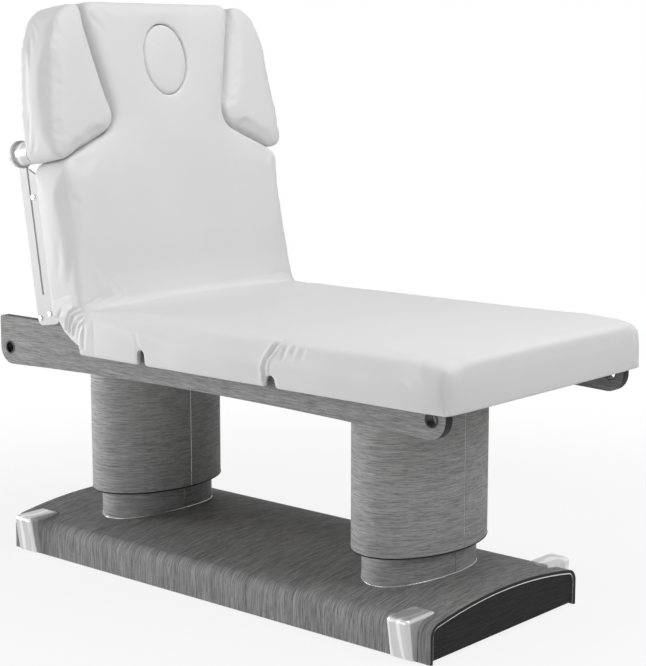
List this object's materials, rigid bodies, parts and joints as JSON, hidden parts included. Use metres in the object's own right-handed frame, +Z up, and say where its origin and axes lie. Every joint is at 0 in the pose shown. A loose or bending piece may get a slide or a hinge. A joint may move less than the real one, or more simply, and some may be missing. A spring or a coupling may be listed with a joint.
{
  "type": "electric massage table",
  "caption": "Electric massage table: white mattress in sections with raised backrest and side pads, dark side rails, oval lift columns, long curved base.",
  "frame": {"origin": "centre of the bounding box on the floor", "axes": "+X towards the foot end, +Z up, -Y towards the right side of a person who sits against the backrest"},
  "size_m": [1.574, 0.856, 1.4983],
  "materials": {
    "cover_white": "smooth, soft satin",
    "veneer_grey": "dark grey veneer with fine long grain, satin",
    "edge_black": "satin",
    "trim_light": "brushed",
    "sleeve_grey": "dark grey, satin",
    "polished_metal": "polished",
    "frame_white": "white powder coat",
    "steel_bright": "bright",
    "steel_dark": "black paint, matt",
    "aluminium_raw": "mill finish",
    "plastic_black": "matt",
    "plywood": "raw plywood",
    "rubber_black": "matt"
  },
  "bodies": {
    "base": {"levelling_feet": "rubber_black", "base_plate": "steel_dark", "base_cover": "veneer_grey", "cover_edge_bands": "edge_black", "end_trims": "trim_light", "end_panel_head": "veneer_grey", "end_panel_foot": "veneer_grey", "foot_cover_head_right": "polished_metal", "foot_cover_head_left": "polished_metal", "foot_cover_foot_right": "polished_metal", "foot_cover_foot_left": "polished_metal", "lower_sleeve_head_right": "sleeve_grey", "lower_sleeve_head_left": "sleeve_grey", "lower_sleeve_foot_right": "sleeve_grey", "lower_sleeve_foot_left": "sleeve_grey", "column_outer_tubes": "aluminium_raw", "column_motors": "steel_dark", "column_bolts": "steel_bright", "control_box": "plastic_black", "power_inlet": "plastic_black"},
    "head_lift_screw": {"lift_screw_head": "steel_bright"},
    "foot_lift_screw": {"lift_screw_foot": "steel_bright"},
    "lifting_frame": {"column_inner_tube_head": "aluminium_raw", "column_inner_tube_foot": "aluminium_raw", "upper_sleeve_head_right": "sleeve_grey", "upper_sleeve_head_left": "sleeve_grey", "upper_sleeve_foot_right": "sleeve_grey", "upper_sleeve_foot_left": "sleeve_grey", "frame_cross_tubes": "frame_white", "frame_beams": "frame_white", "seat_bearers": "frame_white", "rest_buffers": "rubber_black", "rail_right": "veneer_grey", "rail_left": "veneer_grey", "rail_grommets": "polished_metal", "hinge_ears": "frame_white", "hinge_pins": "steel_bright", "seat_board": "plywood", "seat_cushion": "cover_white", "actuator_clevises": "frame_white", "back_actuator_body": "plastic_black"},
    "backrest": {"back_frame": "frame_white", "back_board": "plywood", "back_cushion": "cover_white", "back_side_plate_right": "frame_white", "back_side_plate_left": "frame_white", "side_plate_screws": "steel_bright"},
    "side_pad_right": {"side_pad_cushion_right": "cover_white", "side_pad_board_right": "plywood", "side_pad_swivel_right": "polished_metal"},
    "side_pad_left": {"side_pad_cushion_left": "cover_white", "side_pad_board_left": "plywood", "side_pad_swivel_left": "polished_metal"},
    "face_plug": {"face_plug": "cover_white"},
    "leg_rest": {"leg_frame": "frame_white", "leg_board": "plywood", "leg_cushion": "cover_white"},
    "back_actuator_rod": {"back_actuator_rod": "steel_bright"},
    "leg_actuator_body": {"leg_actuator_body": "plastic_black"},
    "leg_actuator_rod": {"leg_actuator_rod": "steel_bright"}
  },
  "joints": [
    {"name": "lift", "type": "slide", "parent": "base", "child": "lifting_frame", "axis": [0, 0, 1], "range_m": [0, 0.25]},
    {"name": "head_screw_turn", "type": "hinge", "parent": "base", "child": "head_lift_screw", "pos_m": [-0.5235, 0, 0.3], "axis": [0, 0, 1], "range_deg": [0, 9001]},
    {"name": "foot_screw_turn", "type": "hinge", "parent": "base", "child": "foot_lift_screw", "pos_m": [0.4065, 0, 0.3], "axis": [0, 0, 1], "range_deg": [0, 9001]},
    {"name": "backrest_tilt", "type": "hinge", "parent": "lifting_frame", "child": "backrest", "pos_m": [-0.387, 0, 0.704], "axis": [0, 1, 0], "range_deg": [-81, 0]},
    {"name": "leg_rest_tilt", "type": "hinge", "parent": "lifting_frame", "child": "leg_rest", "pos_m": [0.275, 0, 0.704], "axis": [0, -1, 0], "range_deg": [0, 25]},
    {"name": "side_pad_right_swivel", "type": "hinge", "parent": "backrest", "child": "side_pad_right", "pos_m": [-0.59867, -0.392, 1.10711], "axis": [0.9877, 0, 0.1564], "range_deg": [0, 90]},
    {"name": "side_pad_left_swivel", "type": "hinge", "parent": "backrest", "child": "side_pad_left", "pos_m": [-0.59867, 0.392, 1.10711], "axis": [-0.9877, 0, -0.1564], "range_deg": [0, 90]},
    {"name": "face_plug_out", "type": "slide", "parent": "backrest", "child": "face_plug", "axis": [0.9877, 0, 0.1564], "range_m": [0, 0.07]},
    {"name": "back_actuator_stroke", "type": "slide", "parent": "lifting_frame", "child": "back_actuator_rod", "axis": [-0.9937, 0, 0.1117], "range_m": [-0.0912, 0.0002]},
    {"name": "leg_actuator_swing", "type": "hinge", "parent": "lifting_frame", "child": "leg_actuator_body", "pos_m": [0.062, 0.042, 0.612], "axis": [0, -1, 0], "range_deg": [0, 1.7]},
    {"name": "leg_actuator_stroke", "type": "slide", "parent": "leg_actuator_body", "child": "leg_actuator_rod", "axis": [0.9934, 0, 0.1148], "range_m": [0, 0.0284]}
  ],
  "couplings": [
    {"joint": "head_screw_turn", "follows": "lift", "rad_per_m": 628.32},
    {"joint": "foot_screw_turn", "follows": "lift", "rad_per_m": 628.32},
    {"joint": "back_actuator_stroke", "follows": "backrest_tilt", "m_per_rad": 0.06444},
    {"joint": "leg_actuator_swing", "follows": "leg_rest_tilt", "ratio": 0.06478},
    {"joint": "leg_actuator_stroke", "follows": "leg_rest_tilt", "m_per_rad": 0.06481}
  ]
}
